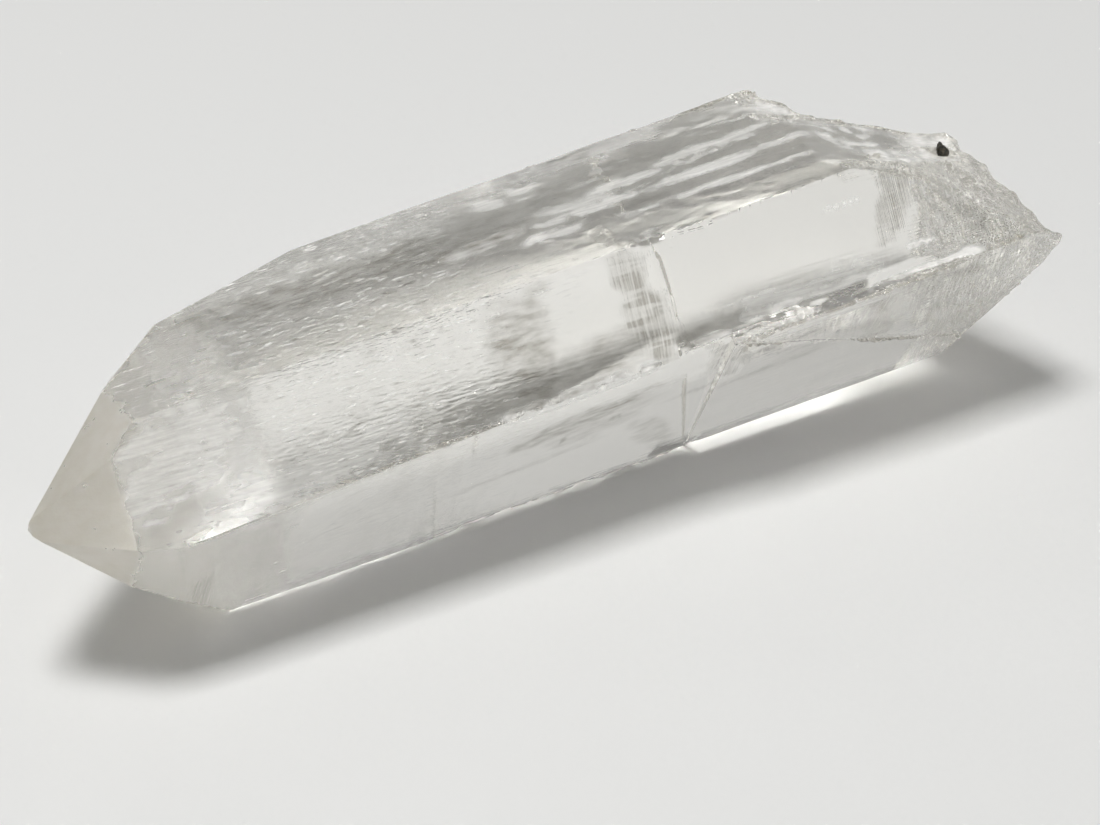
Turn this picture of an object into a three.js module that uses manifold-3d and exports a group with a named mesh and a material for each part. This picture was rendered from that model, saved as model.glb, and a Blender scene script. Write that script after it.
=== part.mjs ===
// A single clear quartz crystal, lying on one of its prism faces.
//
// Millimetres, +Z up. The crystal's long axis runs along X, with the tip towards -X and the
// broken root towards +X. The axis rises a little towards the root, because the prism tapers
// and its bottom face lies flat on the surface. The origin is under the middle of the box.
//
// Every growth face is a plane. Prism faces stand 60 degrees apart around the axis. Tip faces
// lean over the axis at the angle of the quartz rhombohedron. The root is a fracture: a rough
// surface x = f(y, z), made of a few broad breaks with shell-like ribs on them.

import * as THREE from "three";
import { ConvexGeometry } from "three/addons/geometries/ConvexGeometry.js";
import { mergeVertices } from "three/addons/utils/BufferGeometryUtils.js";
import Module from "manifold-3d";

const wasm = await Module();
wasm.setup();

// ---------------------------------------------------------------- driving dimensions

const AXIS_TILT = 3; // degrees the axis rises towards the root
const CENTRE = new THREE.Vector3(0, -7, 12.25); // point on the axis at mid length
const RHOMB_SLOPE = 38.2; // degrees between a tip face and the axis, in quartz

// Prism faces: degrees around the axis from the top towards the front, taper towards the tip
// in degrees, and distance from the axis at mid length.
const PRISM_FACES = {
  top: { around: 0, taper: 0.6, out: 12.3 },
  upperFront: { around: 60, taper: -0.3, out: 13.45 },
  lowerFront: { around: 120, taper: -0.8, out: 10.3 },
  bottom: { around: 180, taper: AXIS_TILT, out: 12.25 },
  lowerBack: { around: 240, taper: 3.8, out: 14.4 },
  upperBack: { around: 300, taper: 2.7, out: 13.25 },
};

// Tip faces: degrees around the axis, and the distance from mid length at which the face
// would cross the axis. The largest faces are those that cross it first.
const TIP_FACES = {
  top: { around: 0, reach: 60 },
  upperFront: { around: 60, reach: 64.9 },
  lowerFront: { around: 120, reach: 60.3 },
  bottom: { around: 177, reach: 49.8, slope: 42.5 },
  lowerBack: { around: 240, reach: 46 },
  upperBack: { around: 300, reach: 48.6 },
};

// Steep faces between the prism and the tip.
const STEEP_FACES = {
  lowerFront: { around: 121, reach: 99, slope: 11 },
  upperBack: { around: 300, reach: 69.2, slope: 15 },
};
const TIP_WEAR = 0.45; // how far the sharp point is worn back

// Growth steps: shallow treads on the prism faces. Each tread sinks slowly over its run and
// ends in a riser square to the axis. "from" is the riser's distance from mid length, "drop" is
// the riser's height, taken "aside" mm from the middle of the face, and "turn" rolls the tread.
const GROWTH_STEPS = [
  { face: "upperFront", from: 0.9, run: 18.4, drop: 0.7, turn: 14, aside: 4.1 },
  { face: "lowerFront", from: 6, run: 30, drop: 0.4, turn: -2, aside: 0 },
  { face: "upperBack", from: 16, run: 30, drop: 0.5, turn: -7, aside: 0 },
  { face: "upperBack", from: -12, run: 14, drop: 0.35, turn: -7, aside: 1 },
  { face: "lowerBack", from: 10, run: 28, drop: 0.5, turn: 3, aside: 0 },
  { face: "lowerBack", from: -16, run: 12, drop: 0.3, turn: 0, aside: 0 },
];

// A thin flake lost from the root half of the bottom, so that half stands clear of the surface.
const BOTTOM_FLAKE = { x: 6.6, height: 1.15, rise: 1, start: 0.9 };

// The broken root: where each broad break crosses x, how fast it falls back, and its grain.
const TOP_BREAK = { x: 20.3, z: 25.7, fall: 3.6 }; // thin flake off the top face
const UPPER_BREAK = { x: 23.4, y: -15, z: 26.2, fall: 2, lean: 0.6 }; // faces up and forward
const CREST_BREAK = { x: 44.6, fall: 0.8 }; // faces up and back
const BACK_BREAK = { x: 40.3, fall: 0.22 }; // faces back along the axis
const LEDGE = { x: 36.8, at: 14.8, fall: 3, below: 18, spread: 0.5 }; // riser between those two
const LOWER_BREAK = { x: 33.9, undercut: 0.56, lean: -0.02, y: -15 }; // faces down, under the spur
const RIB_PITCH = 3.1; // spacing of the shell-like ribs
const RIB_HEIGHT = 0.55;
const GRAIN_HEIGHT = 0.35; // irregular lumps on top of the ribs
const GRAIN_SIZE = 3.4;
const FRACTURE_CELL = 0.62; // grid spacing of the modelled fracture

const PIT = { y: -10.1, z: 22, radius: 1.1 }; // holds a grain of dark mineral

// ---------------------------------------------------------------- planes and convex solids

const radians = THREE.MathUtils.degToRad;
const axis = new THREE.Vector3(Math.cos(radians(AXIS_TILT)), 0, Math.sin(radians(AXIS_TILT)));
const across = new THREE.Vector3(0, 1, 0); // level, away from the front
const overhead = new THREE.Vector3().crossVectors(axis, across); // square to both, upwards

// Direction square to the axis, "around" degrees from the top towards the front.
function outward(around) {
  return overhead
    .clone()
    .multiplyScalar(Math.cos(radians(around)))
    .addScaledVector(across, -Math.sin(radians(around)));
}

// A face that leans over the tip: its normal is turned from outward by "slope" degrees.
function leaningNormal(around, slope) {
  return outward(around)
    .multiplyScalar(Math.cos(radians(slope)))
    .addScaledVector(axis, -Math.sin(radians(slope)));
}

function planeThrough(normal, point) {
  return { normal, reach: normal.dot(point) };
}

function prismPlane({ around, taper, out }) {
  const normal = leaningNormal(around, taper);
  return planeThrough(normal, CENTRE.clone().addScaledVector(normal, out));
}

function tipPlane({ around, reach, slope = RHOMB_SLOPE }) {
  return planeThrough(leaningNormal(around, slope), CENTRE.clone().addScaledVector(axis, -reach));
}

// Corner where three planes meet, or null where they are close to parallel.
function corner(a, b, c) {
  const bc = new THREE.Vector3().crossVectors(b.normal, c.normal);
  const volume = a.normal.dot(bc);
  if (Math.abs(volume) < 1e-4) return null;
  return bc
    .multiplyScalar(a.reach)
    .addScaledVector(new THREE.Vector3().crossVectors(c.normal, a.normal), b.reach)
    .addScaledVector(new THREE.Vector3().crossVectors(a.normal, b.normal), c.reach)
    .divideScalar(volume);
}

// The convex solid inside a set of planes: every corner that no plane cuts off, wrapped.
function convexSolid(planes) {
  const corners = [];
  for (let i = 0; i < planes.length; i++)
    for (let j = i + 1; j < planes.length; j++)
      for (let k = j + 1; k < planes.length; k++) {
        const point = corner(planes[i], planes[j], planes[k]);
        const inside = point && planes.every((p) => p.normal.dot(point) < p.reach + 1e-6);
        if (inside && !corners.some((other) => other.distanceTo(point) < 1e-5)) corners.push(point);
      }
  return solidOf(new ConvexGeometry(corners));
}

function solidOf(geometry) {
  const bare = new THREE.BufferGeometry();
  bare.setAttribute("position", geometry.getAttribute("position")).setIndex(geometry.index);
  const merged = mergeVertices(bare, 1e-5);
  return new wasm.Manifold(
    new wasm.Mesh({
      numProp: 3,
      vertProperties: new Float32Array(merged.getAttribute("position").array),
      triVerts: new Uint32Array(merged.index.array),
    }),
  );
}

function geometryOf(solid) {
  const mesh = solid.getMesh();
  const geometry = new THREE.BufferGeometry();
  geometry.setAttribute("position", new THREE.Float32BufferAttribute(mesh.vertProperties, 3));
  geometry.setIndex(Array.from(mesh.triVerts));
  return geometry;
}

// ---------------------------------------------------------------- growth faces

const rootEnd = { normal: new THREE.Vector3(1, 0, 0), reach: 60 };

function grownCrystal() {
  const prism = Object.values(PRISM_FACES).map(prismPlane);
  const tip = Object.values(TIP_FACES).map(tipPlane);
  const steep = Object.values(STEEP_FACES).map(tipPlane);
  return convexSolid([...prism, ...tip, ...steep, rootEnd]);
}

// The worn point: all that lies beyond a plane square to the axis, just inside the tip.
function wornPoint(crystal) {
  const { min } = crystal.boundingBox();
  const normal = axis.clone().negate();
  const start = new THREE.Vector3(min[0] + TIP_WEAR, CENTRE.y - 7, CENTRE.z);
  return convexSolid([
    planeThrough(normal.clone().negate(), start),
    planeThrough(normal, start.clone().addScaledVector(normal, 5)),
    ...[0, 90, 180, 270].map((around) =>
      planeThrough(outward(around), start.clone().addScaledVector(outward(around), 12)),
    ),
  ]);
}

// What one growth step leaves out: a thin wedge over a prism face, deepest at its riser.
function growthStep({ face, from, run, drop, turn, aside }) {
  const { around, taper, out } = PRISM_FACES[face];
  const side = prismPlane({ around, taper, out });
  const widen = Math.tan(radians(taper)) * from; // the prism is this much wider there
  const riser = CENTRE.clone()
    .addScaledVector(axis, from)
    .addScaledVector(outward(around), out + widen - drop)
    .addScaledVector(outward(around + 90), aside);
  const dip = taper - THREE.MathUtils.radToDeg(Math.atan2(drop, run));
  const tread = planeThrough(leaningNormal(around + turn, dip), riser);
  return convexSolid([
    { normal: tread.normal.clone().negate(), reach: -tread.reach },
    planeThrough(axis, riser),
    planeThrough(axis.clone().negate(), riser.clone().addScaledVector(axis, -2 * run)),
    { normal: side.normal, reach: side.reach + 4 },
    planeThrough(outward(around + 90), CENTRE.clone().addScaledVector(outward(around + 90), 30)),
    planeThrough(outward(around - 90), CENTRE.clone().addScaledVector(outward(around - 90), 30)),
  ]);
}

function bottomFlake() {
  const { x, height, rise, start } = BOTTOM_FLAKE;
  const above = new THREE.Vector3(-Math.sin(radians(rise)), 0, Math.cos(radians(rise)));
  return convexSolid([
    planeThrough(above, new THREE.Vector3(x, 0, height)),
    planeThrough(new THREE.Vector3(-1, 0, start).normalize(), new THREE.Vector3(x, 0, 0)),
    { normal: new THREE.Vector3(0, 0, -1), reach: 4 },
    { normal: new THREE.Vector3(1, 0, 0), reach: 64 },
    { normal: new THREE.Vector3(0, 1, 0), reach: 30 },
    { normal: new THREE.Vector3(0, -1, 0), reach: 40 },
  ]);
}

// ---------------------------------------------------------------- the broken root

// Smooth random value between -1 and 1 at a point, from hashed values on a unit grid.
function lumps(u, v) {
  const hash = (i, j) => {
    const wave = Math.sin(i * 127.1 + j * 311.7) * 43758.5453;
    return 2 * (wave - Math.floor(wave)) - 1;
  };
  const [i, j] = [Math.floor(u), Math.floor(v)];
  const ease = (t) => t * t * (3 - 2 * t);
  const [s, t] = [ease(u - i), ease(v - j)];
  const near = hash(i, j) * (1 - s) + hash(i + 1, j) * s;
  const far = hash(i, j + 1) * (1 - s) + hash(i + 1, j + 1) * s;
  return near * (1 - t) + far * t;
}

// Shell-like ribs: distance from the point of the blow, rising slowly and falling sharply.
function ribs(y, z) {
  const distance = Math.hypot(y + 1, (z - 31) * 1.3) + 1.2 * lumps(y / 5, z / 5);
  const phase = distance / RIB_PITCH;
  const along = phase - Math.floor(phase);
  return RIB_HEIGHT * (along < 0.8 ? along / 0.8 : (1 - along) / 0.2);
}

// How far the crystal reaches along X at a height z and a place y across it.
function fractureReach(y, z) {
  const [v, w] = [y / GRAIN_SIZE, z / GRAIN_SIZE];
  const grain = GRAIN_HEIGHT * (lumps(v, w) + 0.5 * lumps(2.3 * v, 2.3 * w));
  const top = TOP_BREAK.x + TOP_BREAK.fall * (TOP_BREAK.z - z) + 1.5 * lumps(y / 3, 7);
  const upper =
    UPPER_BREAK.x +
    UPPER_BREAK.fall * (UPPER_BREAK.z - z) +
    UPPER_BREAK.lean * (y - UPPER_BREAK.y);
  const across = y + z - LEDGE.spread * Math.max(0, LEDGE.below - z);
  const ledge = LEDGE.x - LEDGE.fall * (across - LEDGE.at);
  const crest = CREST_BREAK.x - CREST_BREAK.fall * (y + z);
  const back = Math.min(BACK_BREAK.x - BACK_BREAK.fall * (y + z), Math.max(crest, ledge));
  const lower = LOWER_BREAK.x + LOWER_BREAK.undercut * z - LOWER_BREAK.lean * (y - LOWER_BREAK.y);
  const rough = Math.min(upper, back);
  const broken = Math.min(top, rough + 1.6 * (ribs(y, z) - RIB_HEIGHT / 2 + grain));
  return Math.min(broken, lower + 0.5 * grain);
}

// Everything beyond the fracture, as one closed block with the fracture as its inner side.
function beyondFracture() {
  const [left, right, low, high, end] = [-26, 16, -3, 30, 64];
  const columns = Math.round((right - left) / FRACTURE_CELL);
  const rows = Math.round((high - low) / FRACTURE_CELL);
  const geometry = new THREE.BoxGeometry(1, 1, 1, 1, columns, rows);
  const place = geometry.getAttribute("position");
  for (let i = 0; i < place.count; i++) {
    const y = left + (place.getY(i) + 0.5) * (right - left);
    const z = low + (place.getZ(i) + 0.5) * (high - low);
    const x = place.getX(i) < 0 ? fractureReach(y, z) : end;
    place.setXYZ(i, x, y, z);
  }
  return solidOf(geometry);
}

function pit() {
  const ball = new THREE.IcosahedronGeometry(PIT.radius, 2);
  ball.scale(1.5, 0.8, 1.1);
  ball.translate(fractureReach(PIT.y, PIT.z) + 0.5, PIT.y, PIT.z);
  return solidOf(ball);
}

// ---------------------------------------------------------------- the finished crystal

let crystal = grownCrystal();
crystal = crystal.subtract(wornPoint(crystal));
for (const step of GROWTH_STEPS) crystal = crystal.subtract(growthStep(step));
crystal = crystal.subtract(bottomFlake());
crystal = crystal.subtract(beyondFracture()).subtract(pit());

const clearQuartz = new THREE.MeshStandardMaterial({
  name: "clear_quartz",
  color: 0xe4e3de,
  roughness: 0.06,
  metalness: 0,
  transparent: true,
  opacity: 0.4,
});

const geometry = geometryOf(crystal);
geometry.computeBoundingBox();
const { min, max } = geometry.boundingBox;
geometry.translate(-(min.x + max.x) / 2, -(min.y + max.y) / 2, -min.z);

const mesh = new THREE.Mesh(geometry, clearQuartz);
mesh.name = "quartz_crystal";

const group = new THREE.Group();
group.add(mesh);

export default group;
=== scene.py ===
import math

import bmesh
import bpy
import numpy as np
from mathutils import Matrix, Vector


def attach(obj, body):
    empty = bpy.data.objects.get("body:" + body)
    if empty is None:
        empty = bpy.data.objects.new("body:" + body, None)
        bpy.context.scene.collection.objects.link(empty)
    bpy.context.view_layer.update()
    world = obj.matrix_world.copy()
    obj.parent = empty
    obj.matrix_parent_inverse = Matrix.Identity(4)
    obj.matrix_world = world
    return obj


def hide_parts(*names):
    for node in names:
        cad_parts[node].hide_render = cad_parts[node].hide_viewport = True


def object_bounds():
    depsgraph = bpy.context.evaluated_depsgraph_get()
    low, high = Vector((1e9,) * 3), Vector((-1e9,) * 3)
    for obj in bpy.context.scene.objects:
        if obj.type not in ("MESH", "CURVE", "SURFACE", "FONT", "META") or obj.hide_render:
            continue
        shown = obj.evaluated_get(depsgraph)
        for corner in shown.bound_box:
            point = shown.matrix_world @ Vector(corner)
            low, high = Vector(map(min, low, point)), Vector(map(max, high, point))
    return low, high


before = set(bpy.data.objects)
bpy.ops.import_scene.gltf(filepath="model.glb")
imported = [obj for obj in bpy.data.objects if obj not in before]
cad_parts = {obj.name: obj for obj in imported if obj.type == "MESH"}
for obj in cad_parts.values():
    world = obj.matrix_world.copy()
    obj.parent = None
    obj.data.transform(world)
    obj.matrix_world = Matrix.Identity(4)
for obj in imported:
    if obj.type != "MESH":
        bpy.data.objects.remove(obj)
cad_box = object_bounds()

# ---- Camera --------------------------------------------------------------------------------
# Looks down at the crystal from the front, tip on the left and nearer, with a long lens.
VIEW_TURN = math.radians(30.0)
VIEW_DROP = math.radians(31.5)
VIEW_DISTANCE = 0.26796
VIEW_CENTRE = np.array([0.00625, 0.00524, 0.0])
level_part = math.cos(VIEW_DROP)
look = np.array(
    [math.sin(VIEW_TURN) * level_part, math.cos(VIEW_TURN) * level_part, -math.sin(VIEW_DROP)]
)
camera_data = bpy.data.cameras.new("camera")
camera_data.sensor_width = 36.0
camera_data.lens = 98.2
camera_data.clip_start = 0.01
camera = bpy.data.objects.new("camera", camera_data)
camera.location = tuple(VIEW_CENTRE - look * VIEW_DISTANCE)
camera.rotation_euler = (math.pi / 2 - VIEW_DROP, 0.0, -VIEW_TURN)
bpy.context.collection.objects.link(camera)
bpy.context.scene.camera = camera

# ---- Floor and light -----------------------------------------------------------------------
# A plain pale table under one broad soft lamp, in a pale grey room.
TABLE_HALF = 1.5
TABLE_LEVEL = -0.0002
table_corners = [(-1, -1), (1, -1), (1, 1), (-1, 1)]
floor_mesh = bpy.data.meshes.new("floor")
floor_mesh.from_pydata(
    [(TABLE_HALF * x, TABLE_HALF * y, TABLE_LEVEL) for x, y in table_corners], [], [(0, 1, 2, 3)]
)
floor = bpy.data.objects.new("floor", floor_mesh)
bpy.context.collection.objects.link(floor)
floor_finish = bpy.data.materials.new("pale_table")
floor_finish.use_nodes = True
table_shader = floor_finish.node_tree.nodes["Principled BSDF"]
table_shader.inputs["Base Color"].default_value = (0.80, 0.80, 0.79, 1)
table_shader.inputs["Roughness"].default_value = 0.7
table_shader.inputs["Specular IOR Level"].default_value = 0.2
floor.data.materials.append(floor_finish)

lamp_data = bpy.data.lights.new("soft_lamp", "AREA")
lamp_data.shape = "RECTANGLE"
lamp_data.size = 0.25
lamp_data.size_y = 0.22
lamp_data.energy = 3.9
lamp = bpy.data.objects.new("soft_lamp", lamp_data)
lamp.location = (-0.14, -0.035, 0.75)
lamp.rotation_euler = (math.radians(2.7), math.radians(-10.5), 0)
bpy.context.collection.objects.link(lamp)

room = bpy.data.worlds.new("room")
room.use_nodes = True
room_nodes = room.node_tree.nodes
room_links = room.node_tree.links
backdrop = room_nodes["Background"]
backdrop.inputs["Strength"].default_value = 1.0
direction = room_nodes.new("ShaderNodeTexCoord")
split = room_nodes.new("ShaderNodeSeparateXYZ")
shade = room_nodes.new("ShaderNodeValToRGB")
ROOM_TONES = ((0.0, 0.62), (0.28, 0.60), (0.5, 0.35), (0.75, 0.22), (1.0, 0.20))
for height, tone in ROOM_TONES[1:-1]:
    shade.color_ramp.elements.new(height)
for stop, (height, tone) in zip(shade.color_ramp.elements, ROOM_TONES):
    stop.position = height
    stop.color = (tone, tone, tone * 0.985, 1)
room_links.new(direction.outputs["Generated"], split.inputs[0])
room_links.new(split.outputs["Z"], shade.inputs["Fac"])
room_links.new(shade.outputs["Color"], backdrop.inputs["Color"])
bpy.context.scene.world = room
bpy.context.scene.view_settings.view_transform = "Standard"
# Light crosses the crystal many times before it leaves.
light_paths = bpy.context.scene.cycles
light_paths.max_bounces = 20
light_paths.transmission_bounces = 20
light_paths.glossy_bounces = 12
light_paths.sample_clamp_indirect = 0
light_paths.blur_glossy = 0.0

# ---- Clear quartz crystal ------------------------------------------------------------------
# One grown crystal lying on a prism face. Its sides and tip are flat growth faces, finely
# etched towards the tip; its root is a shell-like break. It stands loose, on nothing else.
AXIS_TILT = math.radians(3.0)
MIDDLE = np.array([0.00625, -0.00176, 0.01225])  # on the long axis, at mid length
ALONG = np.array([math.cos(AXIS_TILT), 0.0, math.sin(AXIS_TILT)])
BACK = np.array([0.0, 1.0, 0.0])
OVER = np.cross(ALONG, BACK)
BREAK, TIP, PRISM = 0, 1, 2


def smooth(low, high, value):
    """0 below low, 1 above high, and 3t^2 - 2t^3 of the way t between them."""
    t = np.clip((value - low) / (high - low), 0.0, 1.0)
    return t * t * (3.0 - 2.0 * t)


def lumps(points, size, seed):
    """Smooth random value from -1 to 1: hashed values at the corners of cubes of this size,
    blended along each side by 3t^2 - 2t^3."""
    place = points / size + seed * 17.3
    cell = np.floor(place)
    t = place - cell
    t = t * t * (3.0 - 2.0 * t)
    total = np.zeros(len(points))
    for corner in np.ndindex(2, 2, 2):
        at = (cell + corner) @ np.array([127.1, 311.7, 74.7])
        wave = np.sin(at) * 43758.5453
        share = np.prod(np.where(corner, t, 1.0 - t), axis=1)
        total += share * (2.0 * (wave - np.floor(wave)) - 1.0)
    return total


def refined(points, faces, kinds, limit):
    """Halves the longest side of every triangle that is over its limit, with the triangle
    across that side, until no side is over."""
    while True:
        sides = np.sort(np.stack([faces, np.roll(faces, -1, axis=1)], axis=2), axis=2)
        length = np.linalg.norm(points[sides[..., 0]] - points[sides[..., 1]], axis=2)
        each = np.arange(len(faces))
        longest = length.argmax(axis=1)
        over = length[each, longest] > limit(points[faces].mean(axis=1), kinds)
        keys = sides[..., 0].ravel() * len(points) + sides[..., 1].ravel()
        keys, which = np.unique(keys, return_inverse=True)
        pairs = np.stack([keys // len(points), keys % len(points)], axis=1)
        which = which.reshape(-1, 3)
        split = np.zeros(len(pairs), bool)
        split[which[each, longest][over]] = True
        if not split.any():
            return points, faces, kinds
        number = np.where(split, len(points) + np.cumsum(split) - 1, -1)
        points = np.vstack([points, points[pairs[split]].mean(axis=1)])
        middle = number[which]
        cut = (middle >= 0).sum(axis=1)
        turn = np.where(cut == 1, (middle >= 0).argmax(axis=1), 0)
        turn = np.where(cut == 2, ((middle < 0).argmax(axis=1) + 1) % 3, turn)
        order = (turn[:, None] + np.arange(3)) % 3
        a, b, c = np.take_along_axis(faces, order, axis=1).T
        m, n, o = np.take_along_axis(middle, order, axis=1).T
        parts = [
            (cut == 0, [(a, b, c)]),
            (cut == 1, [(a, m, c), (m, b, c)]),
            (cut == 2, [(m, b, n), (a, m, n), (a, n, c)]),
            (cut == 3, [(a, m, o), (m, b, n), (o, n, c), (m, n, o)]),
        ]
        faces = np.vstack([np.stack(t, axis=1)[pick] for pick, ts in parts for t in ts])
        kinds = np.concatenate([kinds[pick] for pick, ts in parts for _ in ts])


def evened(points, faces, kinds):
    """Turns the side between two triangles of one flat face where that shapes them better."""
    mesh = bpy.data.meshes.new("evened")
    mesh.from_pydata(points, [], faces)
    mesh.polygons.foreach_set("material_index", kinds)
    work = bmesh.new()
    work.from_mesh(mesh)
    level = [e for e in work.edges if e.calc_face_angle(1.0) < 0.002]
    level = [e for e in level if e.link_faces[0].material_index != BREAK]
    bmesh.ops.beautify_fill(work, faces=work.faces, edges=level)
    work.to_mesh(mesh)
    work.free()
    points = np.empty(len(mesh.vertices) * 3)
    mesh.vertices.foreach_get("co", points)
    faces = np.empty(len(mesh.loops), int)
    mesh.loops.foreach_get("vertex_index", faces)
    kinds = np.empty(len(mesh.polygons), int)
    mesh.polygons.foreach_get("material_index", kinds)
    bpy.data.meshes.remove(mesh)
    return points.reshape(-1, 3), faces.reshape(-1, 3), kinds


# The solid's own triangles, with doubled points merged and slivers of no area left out. The
# largest level faces are prism faces; those at the far end that look back are the tip.
MERGE_WITHIN = 2e-6
NO_AREA = 1e-13
FLAT_AREA = 1.2e-5
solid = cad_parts["quartz_crystal"].data
loose = np.empty(len(solid.vertices) * 3)
solid.vertices.foreach_get("co", loose)
solid.calc_loop_triangles()
corners = np.empty(len(solid.loop_triangles) * 3, int)
solid.loop_triangles.foreach_get("vertices", corners)
_, first, merged = np.unique(
    np.round(loose.reshape(-1, 3) / MERGE_WITHIN), axis=0, return_index=True, return_inverse=True
)
spots = loose.reshape(-1, 3)[first]
corners = merged.reshape(-1)[corners].reshape(-1, 3)
a, b, c = (spots[corners[:, i]] for i in range(3))
facing = np.cross(b - a, c - a)
area = np.linalg.norm(facing, axis=1)
corners, facing, area = (x[area > NO_AREA] for x in (corners, facing, area))
facing = facing / area[:, None]
_, same = np.unique(np.round(facing / 0.006), axis=0, return_inverse=True)
flat = np.bincount(same.reshape(-1), area)[same.reshape(-1)] > FLAT_AREA
far = (spots[corners].mean(axis=1) - MIDDLE) @ ALONG
kinds = np.where(flat | (far < -0.03), PRISM, BREAK)
kinds[(far < -0.036) & (facing @ ALONG < -0.3)] = TIP


def edge_run(points, faces, kinds, low, high):
    """Points of the sharp long edge whose place behind and above the axis lies between low and
    high, in order along the crystal. A sharp edge joins flat triangles over 35 degrees apart."""
    a, b, c = (points[faces[:, i]] for i in range(3))
    face_way = np.cross(b - a, c - a)
    face_way /= np.linalg.norm(face_way, axis=1, keepdims=True)
    sides = np.sort(np.stack([faces, np.roll(faces, -1, axis=1)], axis=2), axis=2).reshape(-1, 2)
    owner = np.repeat(np.arange(len(faces)), 3)
    order = np.lexsort((sides[:, 1], sides[:, 0]))
    sides, owner = sides[order], owner[order]
    one, two = owner[0::2], owner[1::2]
    bent = (face_way[one] * face_way[two]).sum(axis=1) < math.cos(math.radians(35))
    bent &= (kinds[one] == PRISM) & (kinds[two] == PRISM)
    ends = sides[0::2]
    way = points[ends[:, 1]] - points[ends[:, 0]]
    bent &= abs(way @ ALONG) > 0.95 * np.linalg.norm(way, axis=1)
    at = points[np.unique(ends[bent])] - MIDDLE
    at = np.stack([at @ ALONG, at @ BACK, at @ OVER], axis=1)
    at = at[((at[:, 1:] > low) & (at[:, 1:] < high)).all(axis=1)]
    return at[at[:, 0].argsort()]


def beside(points, run):
    """Distance of each point from an edge run, measured square to the axis."""
    at = points - MIDDLE
    along = at @ ALONG
    aside = at @ BACK - np.interp(along, run[:, 0], run[:, 1])
    above = at @ OVER - np.interp(along, run[:, 0], run[:, 2])
    return np.hypot(aside, above)


# Where each edge lies: lowest and highest place behind and above the axis.
FRONT_EDGE = ((-0.018, -0.002), (-0.010, 0.008))
BOTTOM_EDGE = ((-0.010, -0.016), (-0.002, -0.007))
# The edges are found again after every round; the first is too coarse to need them.
front_run = bottom_run = np.zeros((1, 3))
# Longest side of a triangle beside the chipped edges, on the break and by the tip, where the
# faces carry growth marks, and elsewhere.
FINE_EDGE, FINE_BREAK, FINE_MARKED, FINE_PLAIN = 0.00030, 0.00045, 0.00060, 0.0011


def finest(at, kind):
    """Longest side wanted on a triangle: short on the break and along the chipped edges,
    middling where the faces carry growth marks, long elsewhere."""
    along = (at - MIDDLE) @ ALONG
    marked_part = ((at - MIDDLE) @ BACK < 0.006) & (along > -0.02)
    least = np.where(along < -0.034, FINE_BREAK, FINE_PLAIN)
    least = np.where(marked_part, FINE_MARKED, least)
    near = (beside(at, front_run) < 0.0011) & (along > -0.016) & (along < 0.032)
    near |= (beside(at, bottom_run) < 0.0013) & (along > -0.018) & (along < 0.008)
    least = np.where(near, FINE_EDGE, least)
    return np.where(kind == BREAK, FINE_BREAK, least)


for side in (0.012, 0.006, 0.003, 0.0017, 0.0010, 0.0006, 0.0003):
    spots, corners, kinds = refined(
        spots,
        corners,
        kinds,
        lambda at, kind: np.maximum(np.where(kind == BREAK, 0.45 * side, side), finest(at, kind)),
    )
    spots, corners, kinds = evened(spots, corners, kinds)
    front_run = edge_run(spots, corners, kinds, *FRONT_EDGE)
    bottom_run = edge_run(spots, corners, kinds, *BOTTOM_EDGE)


def pushed_out(points, faces):
    """Unit normal at each vertex: the sum of the cross products of the faces around it."""
    a, b, c = (points[faces[:, i]] for i in range(3))
    across = np.cross(b - a, c - a)
    total = np.stack(
        [np.bincount(faces.ravel(), np.repeat(across[:, i], 3), len(points)) for i in range(3)],
        axis=1,
    )
    return total / np.maximum(np.linalg.norm(total, axis=1, keepdims=True), 1e-20)


def relaxed(points, links, free, rounds):
    """Moves each free vertex half way to the mean of the vertices that links join it to."""
    points = points.copy()
    both = np.vstack([links, links[:, ::-1]])
    count = np.bincount(both[:, 0], minlength=len(points))[:, None]
    for _ in range(rounds):
        total = [np.bincount(both[:, 0], points[both[:, 1], i], len(points)) for i in range(3)]
        moved = 0.5 * points + 0.5 * np.stack(total, axis=1) / np.maximum(count, 1)
        points[free] = moved[free]
    return points


# The break is smoothed from the solid's grid, then carved with shallow round dishes that meet
# in ridges, each with faint rings round its centre.
links = np.vstack([corners[:, [0, 1]], corners[:, [1, 2]], corners[:, [2, 0]]])
keys = np.unique(links.min(axis=1) * len(spots) + links.max(axis=1))
links = np.stack([keys // len(spots), keys % len(spots)], axis=1)
on_break = np.zeros(len(spots), bool)
on_break[corners[kinds == BREAK].ravel()] = True
on_flat = np.zeros(len(spots), bool)
on_flat[corners[kinds != BREAK].ravel()] = True
rim = on_break & on_flat
rim_links = links[rim[links].all(axis=1)]
spots = relaxed(spots, rim_links, rim, 6)
spots = relaxed(spots, links, on_break & ~rim, 14)
# The risers of the growth steps are blurred: each is many small steps close together.
RISER_AT, RISER_REACH, RISER_FRONT = 0.0009, 0.0016, -0.002
off_edges = np.minimum(beside(spots, front_run), beside(spots, bottom_run)) > 0.0006
riser = abs((spots - MIDDLE) @ ALONG - RISER_AT) < RISER_REACH
riser &= (spots - MIDDLE) @ BACK < RISER_FRONT
spots = relaxed(spots, links, on_flat & ~on_break & off_edges & riser, 25)
outward = pushed_out(spots, corners)

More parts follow.
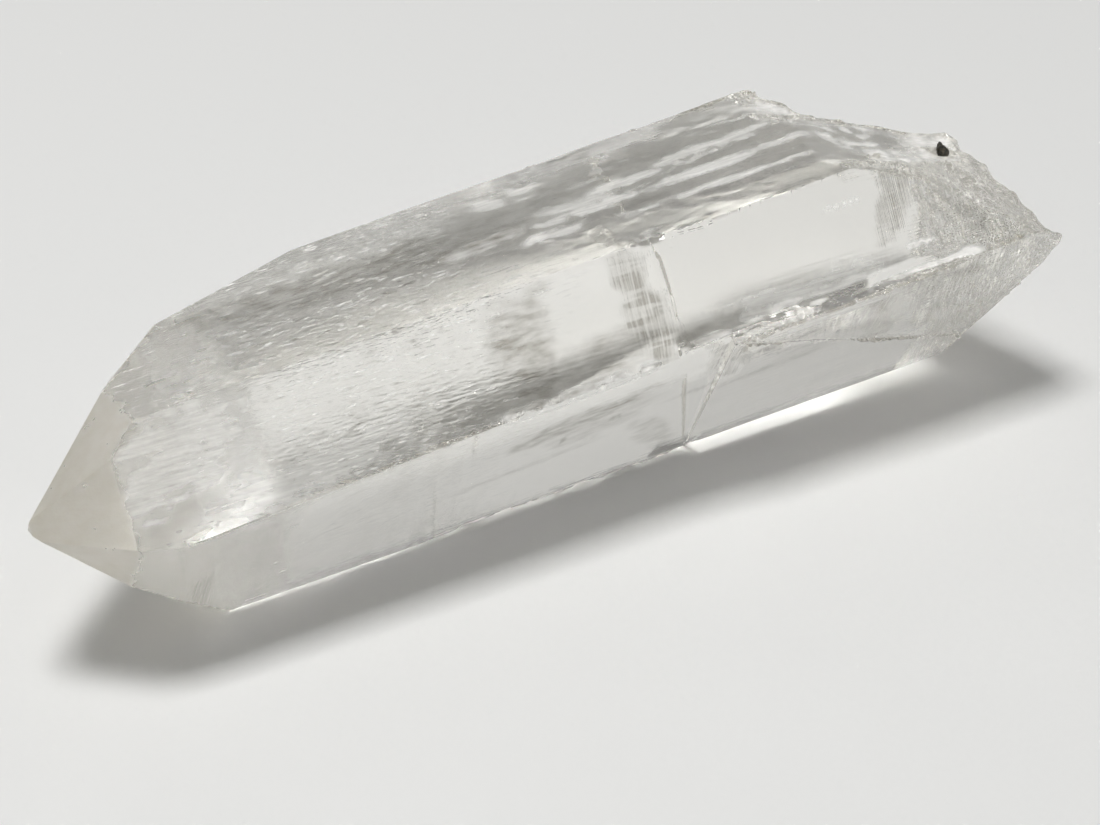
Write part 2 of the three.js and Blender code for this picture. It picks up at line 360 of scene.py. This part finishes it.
DISH_COUNT = 46
DISH_DEPTH = 0.00042
pick = np.random.default_rng(7)
dish_centres = spots[pick.choice(np.flatnonzero(on_break), DISH_COUNT, replace=False)]
dish_centres += pick.normal(0.0, 0.0012, dish_centres.shape)
dish_reach = pick.uniform(0.0024, 0.0055, DISH_COUNT)
warped = spots + 0.0007 * np.stack([lumps(spots, 0.003, s) for s in (1, 2, 3)], axis=1)
apart = np.linalg.norm(warped[:, None] - dish_centres[None], axis=2) / dish_reach[None]
nearest = apart.min(axis=1)
rings = np.cos(2 * math.pi * nearest * 4.5) * smooth(0.15, 0.5, nearest)
carved = DISH_DEPTH * (np.clip(nearest, 0.0, 1.3) ** 2 - 1.0) + 0.00003 * rings
carved += 0.00014 * lumps(spots, 0.0013, 4) + 0.00010 * lumps(spots, 0.0006, 13)

# Growth faces are not quite flat: low hillocks drawn out along the crystal, and on the right
# of the top face, longer and deeper growth bands.
HILLOCK_DEPTH, BAND_DEPTH = 0.000010, 0.000085
local = spots - MIDDLE
u = local @ ALONG
stretched = np.stack([u / 5.0, local @ BACK, local @ OVER], axis=1)
hillocks = HILLOCK_DEPTH * (lumps(stretched, 0.0016, 5) - 1.0)
topside = smooth(0.6, 0.9, outward @ OVER)
bands = BAND_DEPTH * topside * smooth(-0.014, 0.002, u)
hillocks += 0.8 * bands * (lumps(stretched * [1.5, 1.0, 1.0], 0.0011, 6) - 1.0)
hillocks += 0.6 * bands * (lumps(stretched * [2.5, 1.0, 1.0], 0.0005, 9) - 1.0)

# Small chips off the front edge and the bottom edge, deepest right on the edge.
FRONT_CHIP_DEPTH, BOTTOM_CHIP_DEPTH, BEVEL_DEPTH = 0.00035, 0.0007, 0.00035
drawn = np.stack([u / 2.6, local @ BACK, local @ OVER], axis=1)
chip = np.clip(lumps(drawn, 0.0008, 10) + 0.4 * lumps(drawn, 0.0003, 11) + 0.15, 0.0, 1.0)
chip = 0.5 * chip + 0.5 * np.round(chip * 4.0) / 4.0
front_wear = smooth(0.0010, 0.0, beside(spots, front_run)) * smooth(-0.018, -0.013, u)
bottom_wear = smooth(0.0012, 0.0002, beside(spots, bottom_run)) * smooth(-0.022, -0.012, u)
bottom_wear *= smooth(0.0075, 0.006, u)
worn = FRONT_CHIP_DEPTH * front_wear * chip * (1.0 - 0.55 * smooth(0.001, 0.005, u))
worn += BOTTOM_CHIP_DEPTH * bottom_wear * (0.4 + 0.6 * chip)
# A plain bevel on the front edge, near the root.
worn += BEVEL_DEPTH * front_wear * smooth(0.019, 0.021, u) * smooth(0.031, 0.029, u)
hillocks -= worn
push = np.where(on_break & ~rim, carved, np.where(on_flat & ~on_break, hillocks, 0.0))
spots = np.clip(spots + outward * push[:, None], cad_box[0], cad_box[1])

crystal_mesh = bpy.data.meshes.new("crystal")
crystal_mesh.from_pydata(spots, [], corners)
crystal_mesh.shade_smooth()
crystal_mesh.set_sharp_from_angle(angle=math.radians(20))


def noted(mesh, name, values):
    """Keeps one number per vertex on the mesh, for its material to read."""
    mesh.attributes.new(name, "FLOAT", "POINT").data.foreach_set("value", values)


def patch(around, along, across, half_along, half_across, slant=0.0, ragged=0.35):
    """1 inside a patch of one face and 0 outside, fading over its rim. The face looks this many
    degrees around from the top to the front; the rest is in millimetres from mid length and
    from the middle line of the face, and slant is the shift along per step across."""
    turn = math.radians(around)
    facing_it = smooth(0.90, 0.96, -math.sin(turn) * (way @ BACK) + math.cos(turn) * (way @ OVER))
    height = 1000 * (math.cos(turn) * (local @ BACK) + math.sin(turn) * (local @ OVER)) - across
    reach = 1000 * u - along - slant * height
    size = (abs(reach / half_along) ** 3 + abs(height / half_across) ** 3) ** (1 / 3)
    seed = round(along * 3 + across * 7)
    size += ragged * lumps(stretched * [2.0, 1.0, 1.0], 0.0011, seed)
    size += 0.7 * ragged * lumps(stretched * [2.5, 1.0, 1.0], 0.0005, seed + 1)
    return facing_it * smooth(1.35, 0.65, size)


def ball(centre, radius):
    """1 near this place on the crystal, 0 beyond the radius; millimetres from mid length."""
    at = 1000 * np.stack([u, local @ BACK, local @ OVER], axis=1) - centre
    gap = np.linalg.norm(at, axis=1) / radius + 0.3 * lumps(local, 0.0012, round(radius * 9))
    return smooth(1.2, 0.6, gap)


# The tip faces are marked 1, and the mark spreads a little over their edges.
near_tip = np.zeros(len(spots))
near_tip[corners[kinds == TIP].ravel()] = 1.0
joined = np.bincount(links.ravel(), minlength=len(spots))
for _ in range(4):
    total = np.bincount(links.ravel(), near_tip[links[:, ::-1]].ravel(), len(spots))
    near_tip = 0.5 * near_tip + 0.5 * total / joined
# Etching fades away from the tip half, and is weaker on the lower front face.
way = pushed_out(spots, corners)
ragged_u = u + 0.004 * lumps(stretched, 0.0025, 8)
etched = smooth(-0.006, -0.020, ragged_u) * (1.0 - 0.6 * smooth(-0.031, -0.040, u))
lower_front = smooth(0.86, 0.96, -0.866 * (way @ BACK) - 0.5 * (way @ OVER))
upper_front = smooth(0.86, 0.96, -0.866 * (way @ BACK) + 0.5 * (way @ OVER))
etched *= 1.0 - 0.75 * lower_front - 0.25 * upper_front

# Smoky places: grey veils under the faces, in part painted shade standing in for dark
# surroundings seen through the crystal, as (face, along, across, half along, half across, slant,
# strength).
smoke_and_painted_shade = np.zeros(len(spots))
for *where, strength in (
    (60, -1.2, 1.3, 1.6, 5.6, -0.18, 0.85),
    (60, 1.3, -2.7, 1.6, 1.2, 0.0, 0.55),
    (60, -9.0, -2.6, 7.5, 1.5, 0.2, 0.45),
    (60, -12.5, 1.2, 2.9, 5.2, 0.1, 0.75),
    (60, 5.5, -2.2, 3.5, 0.8, 0.3, 0.35),
    (60, 24.0, 3.0, 1.5, 3.6, 0.5, 0.55),
    (60, 33.0, 1.5, 1.3, 3.0, 0.4, 0.5),
    (60, -43.0, -3.0, 4.0, 1.5, 0.0, 0.35),
    (120, -41.6, -0.2, 0.9, 2.2, 0.1, 0.35),
    (60, -26.0, -2.6, 13.0, 1.5, 0.3, 0.12),
    (120, 5.8, 7.0, 1.3, 2.2, -0.2, 0.7),
    (120, 22.5, 4.0, 1.3, 4.0, -0.3, 0.5),
    (120, -8.0, 5.2, 6.0, 1.3, 0.8, 0.7),
    (60, -5.5, -1.2, 4.0, 1.4, 0.4, 0.6),
    (120, -5.0, 3.2, 4.5, 1.6, 0.6, 0.35),
    (120, 17.0, 3.5, 5.0, 1.5, 0.5, 0.22),
    (120, 13.0, 6.5, 7.0, 0.4, 0.5, 0.5),
    (120, 10.0, 2.5, 8.0, 0.3, 0.5, 0.45),
    (120, -14.0, 0.5, 8.0, 0.4, 0.5, 0.3),
    (120, -3.8, 3.1, 0.5, 0.3, 0.5, 0.95),
    (120, -8.8, 2.7, 0.3, 0.5, 0.5, 0.8),
    (0, 5.0, 3.6, 5.5, 1.6, 0.8, 0.3),
    (0, -23.0, 0.2, 14.0, 2.4, -2.0, 0.75),
    (60, -16.0, -2.4, 6.0, 1.4, 0.3, 0.5),
    (0, -2.0, 2.5, 2.5, 1.6, 1.0, 0.4),
    (0, 15.0, 1.5, 8.0, 0.7, 1.0, 0.2),
    (0, -9.0, 2.0, 3.0, 0.8, 1.0, 0.4),
    (0, 0.5, -2.6, 6.0, 0.5, 1.5, 0.4),
    (0, 8.0, -4.6, 7.0, 0.4, 1.5, 0.35),
    (120, 1.5, -2.5, 1.6, 3.4, -0.6, 0.4),
    (60, 3.5, -2.2, 2.4, 0.7, 0.3, 0.5),
):
    smoke_and_painted_shade = np.maximum(smoke_and_painted_shade, strength * patch(*where))

# Milky places: white to cream wisps, listed in the same way; some are painted light laid over
# shade seen through the crystal.
milk_and_painted_light = np.zeros(len(spots))
for *where, strength in (
    (0, -6.0, 4.4, 2.4, 0.9, 1.0, 0.45),
    (0, -5.0, -3.0, 2.6, 0.7, 1.0, 0.5),
    (0, -11.0, -1.2, 3.2, 0.9, 1.0, 0.45),
    (0, -0.5, -0.5, 4.5, 1.1, 1.5, 0.4),
    (0, 9.0, -1.0, 8.0, 0.5, 2.0, 0.55),
    (0, 12.0, -3.6, 8.0, 0.45, 2.0, 0.5),
    (0, 16.0, -0.5, 5.0, 0.4, 2.0, 0.5),
    (60, -32.0, 2.6, 13.0, 2.6, 0.5, 0.22),
    (60, -42.5, 2.0, 4.5, 3.6, 0.5, 0.4),
    # Painted light: lightens a band of shade seen through the lower part of the upper front face.
    (60, -31.0, -2.6, 8.0, 1.5, 0.3, 0.35),
    (60, 4.2, -3.2, 1.2, 0.5, 0.0, 0.7),
    (60, 19.5, 4.1, 1.3, 0.12, 0.0, 0.9),
    (60, 25.8, -1.1, 1.2, 0.15, 0.0, 0.9),
    (60, 25.5, -3.25, 4.8, 0.42, 0.0, 1.0),
    (60, 13.0, -2.2, 6.0, 0.35, 0.0, 0.5),
    (60, 14.0, -1.5, 7.0, 0.8, 0.0, 0.3),
    (120, 20.0, 8.2, 6.0, 0.4, 0.0, 0.5),
    (120, 28.0, -1.0, 2.0, 0.4, 1.0, 0.6),
    (0, 14.0, 2.5, 6.0, 0.7, 2.0, 0.5),
    (0, 5.0, 1.2, 6.0, 0.5, 2.0, 0.5),
):
    milk_and_painted_light = np.maximum(milk_and_painted_light, strength * patch(*where, ragged=0.75))
speckled = lumps(stretched * [4.0, 1.0, 1.0], 0.0007, 12)
milk_and_painted_light = np.maximum(milk_and_painted_light, ball((34.8, -2.4, 7.3), 4.4) * (0.65 + 0.5 * speckled))
milk_and_painted_light = np.maximum(milk_and_painted_light, 0.7 * ball((26.8, -4.0, 10.2), 1.5))
milk_and_painted_light = np.maximum(milk_and_painted_light, 0.6 * ball((28.0, -6.6, 10.0), 1.5) * (0.6 + 0.6 * speckled))
milk_and_painted_light = np.maximum(milk_and_painted_light, 0.6 * ball((31.0, -6.2, 9.0), 1.6) * (0.6 + 0.6 * speckled))
milk_and_painted_light = np.maximum(milk_and_painted_light, ball((26.0, 0.5, 11.0), 3.6) * (0.3 + 0.8 * speckled))
milk_and_painted_light = np.maximum(milk_and_painted_light, ball((23.0, 6.0, 11.6), 3.2) * (0.25 + 0.8 * speckled))
milk_and_painted_light = np.maximum(milk_and_painted_light, ball((29.6, -4.6, 9.4), 2.0) * (0.55 + 0.7 * speckled))
milk_and_painted_light = np.maximum(milk_and_painted_light, bottom_wear * (0.6 + 0.6 * speckled))
milk_and_painted_light = np.maximum(milk_and_painted_light, front_wear * smooth(0.001, -0.002, u) * (0.5 + 0.8 * speckled))
# White scuffs beside the front edge and the bottom edge; beside the front edge the white is also
# a painted glint, standing in for sparkle off tiny chips.
scuffs_and_painted_glints = smooth(0.0011, 0.0003, beside(spots, front_run)) * smooth(-0.0175, -0.0145, u)
milk_and_painted_light = np.maximum(milk_and_painted_light, scuffs_and_painted_glints * smooth(-0.001, -0.005, u) * (0.8 + 1.4 * speckled))
scuffs_and_painted_glints = smooth(0.0015, 0.0004, beside(spots, bottom_run)) * smooth(-0.026, -0.016, u)
milk_and_painted_light = np.maximum(milk_and_painted_light, scuffs_and_painted_glints * smooth(0.008, 0.005, u) * (0.7 + 1.1 * speckled))

# Striated places: fine steps square to the axis.
striated = np.maximum(
    patch(60, -1.2, 1.3, 1.9, 6.0, -0.18) + patch(60, 24.0, 3.0, 1.7, 3.8, 0.5),
    patch(120, 5.8, 7.0, 1.6, 2.4, -0.2) + patch(120, 22.5, 4.0, 1.5, 4.2, -0.3),
)
striated = np.maximum(striated, patch(120, -41.6, -0.2, 1.1, 2.4, 0.1))
for name, values in (
    ("etched", etched * (1.0 - near_tip)),
    ("frost", 0.03 * etched + 0.24 * smooth(-0.012, -0.034, 0.7 * u + 0.3 * ragged_u)),
    ("tip", near_tip),
    ("broken", on_break.astype(float)),
    ("smoke_and_painted_shade", smoke_and_painted_shade),
    ("milk_and_painted_light", np.clip(milk_and_painted_light, 0.0, 1.0)),
    ("striated", np.clip(striated, 0.0, 1.0)),
):
    noted(crystal_mesh, name, values)

crystal = bpy.data.objects.new("crystal", crystal_mesh)
bpy.context.collection.objects.link(crystal)

quartz = bpy.data.materials.new("clear_quartz")
quartz.use_nodes = True
nodes, wires = quartz.node_tree.nodes, quartz.node_tree.links
glass = nodes["Principled BSDF"]
glass.inputs["Transmission Weight"].default_value = 1.0
glass.inputs["IOR"].default_value = 1.544


def node(kind, **settings):
    """One new node of this kind, with its settings."""
    made = nodes.new("ShaderNode" + kind)
    for key, value in settings.items():
        setattr(made, key, value)
    return made


def mathed(operation, first, second=0.0, third=0.0):
    """One Math node; each operand is a number or another node's output."""
    made = node("Math", operation=operation)
    for socket, value in zip(made.inputs, (first, second, third)):
        if isinstance(value, (int, float)):
            socket.default_value = value
        else:
            wires.new(value, socket)
    return made.outputs[0]


def marked(name):
    """The number kept on the mesh under this name."""
    return node("Attribute", attribute_name=name).outputs["Fac"]


place = node("TexCoord").outputs["Object"]


def grain(along, across, detail=2.0):
    """Noise in lumps of these sizes in metres, along the crystal and across it."""
    turned = node("Mapping")
    turned.inputs["Rotation"].default_value = (0.0, AXIS_TILT, 0.0)
    turned.inputs["Scale"].default_value = (1 / along, 1 / across, 1 / across)
    wires.new(place, turned.inputs["Vector"])
    noise = node("TexNoise")
    noise.inputs["Scale"].default_value = 1.0
    noise.inputs["Detail"].default_value = detail
    wires.new(turned.outputs[0], noise.inputs["Vector"])
    return noise.outputs[0]


# Frost: finely etched faces and the tip scatter a little, the break in patches.
etched_here = marked("etched")
on_tip = marked("tip")
fractured = marked("broken")
striped = marked("striated")
flecks = grain(0.0011, 0.00022)
mottle = grain(0.0035, 0.0009)
streaks = grain(0.004, 0.0003, 3.0)
lines = grain(0.00013, 0.006)
frost = mathed("MULTIPLY", marked("frost"), mathed("MULTIPLY_ADD", mottle, 0.5, 0.75))
frost = mathed("MULTIPLY_ADD", on_tip, 0.05, frost)
broken_rough = mathed("MULTIPLY", fractured, mathed("MULTIPLY", mottle, 0.24))
wires.new(mathed("ADD", frost, broken_rough), glass.inputs["Roughness"])

# Smoke and painted shade darken what passes through; the tip and the break are stained a faint
# beige.
speckle = mathed("MULTIPLY_ADD", grain(0.0018, 0.0006), 6.0, -2.5)
clouding = mathed("MULTIPLY_ADD", speckle, 0.4, mathed("MULTIPLY_ADD", streaks, 0.8, 0.25))
combed = mathed("MULTIPLY_ADD", grain(0.00025, 0.004), 2.6, -0.4)
rungs = mathed("MULTIPLY_ADD", grain(0.006, 0.0006, 1.0), 5.0, -1.45)
combed = mathed("MULTIPLY", combed, mathed("MAXIMUM", mathed("MINIMUM", rungs, 1.15), 0.5))
clouding = mathed("MULTIPLY_ADD", mathed("SUBTRACT", combed, clouding), striped, clouding)
veil_and_painted_shade = mathed("MULTIPLY", marked("smoke_and_painted_shade"), clouding)
dull = mathed("MULTIPLY", mathed("SUBTRACT", 0.41, grain(0.0016, 0.0004)), 6.0)
veil_and_painted_shade = mathed("MAXIMUM", veil_and_painted_shade, mathed("MULTIPLY", etched_here, dull))
veil_and_painted_shade = mathed("MAXIMUM", veil_and_painted_shade, mathed("MULTIPLY", fractured, 0.16))
CLEAR_TONE = (0.985, 0.975, 0.945, 1)
SMOKE_AND_SHADE_TONE = (0.30, 0.28, 0.24, 1)
BEIGE_TONE = (0.66, 0.62, 0.52, 1)
MIX_SHARE, MIX_FROM, MIX_TO, MIX_RESULT = 0, 6, 7, 2  # sockets of a Mix node set to colour
smoke_and_shade_mix = node("Mix", data_type="RGBA", clamp_factor=True)
wires.new(veil_and_painted_shade, smoke_and_shade_mix.inputs[MIX_SHARE])
smoke_and_shade_mix.inputs[MIX_FROM].default_value = CLEAR_TONE
smoke_and_shade_mix.inputs[MIX_TO].default_value = SMOKE_AND_SHADE_TONE
beige = node("Mix", data_type="RGBA", clamp_factor=True)
stain = mathed("MULTIPLY", on_tip, mathed("MULTIPLY_ADD", mottle, 0.5, 0.55))
wires.new(mathed("MULTIPLY_ADD", fractured, 0.25, stain), beige.inputs[MIX_SHARE])
wires.new(smoke_and_shade_mix.outputs[MIX_RESULT], beige.inputs[MIX_FROM])
beige.inputs[MIX_TO].default_value = BEIGE_TONE
wires.new(beige.outputs[MIX_RESULT], glass.inputs["Base Color"])

# Milky wisps, part of them painted light and painted glints, white dashes where the faces are
# etched and crushed quartz on the break let less light through.
milky_and_painted_light = mathed("MULTIPLY", marked("milk_and_painted_light"), mathed("MULTIPLY_ADD", streaks, 1.6, 0.2))
milky_and_painted_light = mathed("MAXIMUM", milky_and_painted_light, mathed("MULTIPLY", on_tip, 0.17))
dashes = mathed("MULTIPLY", mathed("SUBTRACT", grain(0.0015, 0.0003), 0.58), 7.0)
milky_and_painted_light = mathed("MAXIMUM", milky_and_painted_light, mathed("MULTIPLY", etched_here, dashes))
crushed = mathed("MULTIPLY", mathed("SUBTRACT", grain(0.0005, 0.0004), 0.52), 5.0)
milky_and_painted_light = mathed("MAXIMUM", milky_and_painted_light, mathed("MULTIPLY", fractured, crushed))
clear = mathed("SUBTRACT", 1.0, milky_and_painted_light)
wires.new(clear, glass.inputs["Transmission Weight"])

# Fine relief: etched flecks, the grain of the break, striations and scratches, each even
# about the face, so that it makes no step where it ends.
RELIEF_DEPTH = 0.00010
relief = mathed("MULTIPLY", etched_here, mathed("SUBTRACT", flecks, 0.5))
chipped = mathed("MULTIPLY", fractured, mathed("SUBTRACT", grain(0.0005, 0.0005), 0.5))
relief = mathed("MULTIPLY_ADD", chipped, 3.0, relief)
lined = mathed("MULTIPLY", mathed("SUBTRACT", lines, 0.5), 1.5)
relief = mathed("MULTIPLY_ADD", striped, lined, relief)
relief = mathed("MULTIPLY_ADD", grain(0.009, 0.00016, 1.0), 0.12, relief)
bump = node("Bump")
bump.inputs["Distance"].default_value = RELIEF_DEPTH
wires.new(relief, bump.inputs["Height"])
wires.new(bump.outputs[0], glass.inputs["Normal"])
crystal_mesh.materials.append(quartz)
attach(crystal, "root")
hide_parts("quartz_crystal")

# ---- Dark mineral speck --------------------------------------------------------------------
# A grain of dark iron mineral that the crystal grew around, now bare in a pit of the break.
# It is a rough knot between one and two millimetres long, held by the quartz.
PIT = np.array([0.04045, -0.00436, 0.02150])
seat = np.linalg.norm(spots - PIT, axis=1).argmin()
SPECK_MIDDLE = spots[seat] + 0.0001 * outward[seat]
SPECK_REACH = (0.00062, 0.00050, 0.00095)
SPECK_STEPS = 40
polar, round_it = np.meshgrid(
    np.linspace(0.0, math.pi, SPECK_STEPS + 1)[1:-1],
    np.linspace(0.0, 2 * math.pi, 2 * SPECK_STEPS, endpoint=False),
    indexing="ij",
)
ball_way = np.stack(
    [np.sin(polar) * np.cos(round_it), np.sin(polar) * np.sin(round_it), np.cos(polar)], axis=2
).reshape(-1, 3)
ball_way = np.vstack([ball_way, [(0.0, 0.0, 1.0), (0.0, 0.0, -1.0)]])
# Radius: a little under 1, with broad and fine lumps added, stretched to the reach.
knob = 0.92 + 0.50 * lumps(ball_way, 0.8, 3) + 0.34 * lumps(ball_way, 0.33, 5)
speck_spots = SPECK_MIDDLE + ball_way * knob[:, None] * np.array(SPECK_REACH)
rows, wide = SPECK_STEPS - 1, 2 * SPECK_STEPS
i, j = np.meshgrid(np.arange(rows - 1), np.arange(wide), indexing="ij")
k = (j + 1) % wide
quads = np.stack([i * wide + j, (i + 1) * wide + j, (i + 1) * wide + k, i * wide + k], axis=2)
turn_round = np.arange(wide)
top_cap = np.stack([np.full(wide, rows * wide), turn_round, (turn_round + 1) % wide], axis=1)
low_cap = (rows - 1) * wide + np.stack([(turn_round + 1) % wide, turn_round], axis=1)
low_cap = np.hstack([np.full((wide, 1), rows * wide + 1), low_cap])
speck_mesh = bpy.data.meshes.new("mineral_speck")
speck_mesh.from_pydata(
    speck_spots, [], quads.reshape(-1, 4).tolist() + top_cap.tolist() + low_cap.tolist()
)
speck_mesh.shade_smooth()
speck = bpy.data.objects.new("mineral_speck", speck_mesh)
bpy.context.collection.objects.link(speck)

speck_finish = bpy.data.materials.new("dark_mineral")
speck_finish.use_nodes = True
speck_nodes, speck_wires = speck_finish.node_tree.nodes, speck_finish.node_tree.links
mineral = speck_nodes["Principled BSDF"]
speck_place = speck_nodes.new("ShaderNodeTexCoord")
flecking = speck_nodes.new("ShaderNodeTexNoise")
flecking.inputs["Scale"].default_value = 4500.0
speck_tone = speck_nodes.new("ShaderNodeValToRGB")
speck_tone.color_ramp.elements[0].position = 0.42
speck_tone.color_ramp.elements[0].color = (0.010, 0.010, 0.008, 1)
speck_tone.color_ramp.elements[1].position = 0.72
speck_tone.color_ramp.elements[1].color = (0.10, 0.085, 0.055, 1)
speck_wires.new(speck_place.outputs["Object"], flecking.inputs["Vector"])
speck_wires.new(flecking.outputs[0], speck_tone.inputs[0])
speck_wires.new(speck_tone.outputs[0], mineral.inputs["Base Color"])
mineral.inputs["Roughness"].default_value = 0.55
speck_mesh.materials.append(speck_finish)
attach(speck, "root")
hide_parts("quartz_crystal")
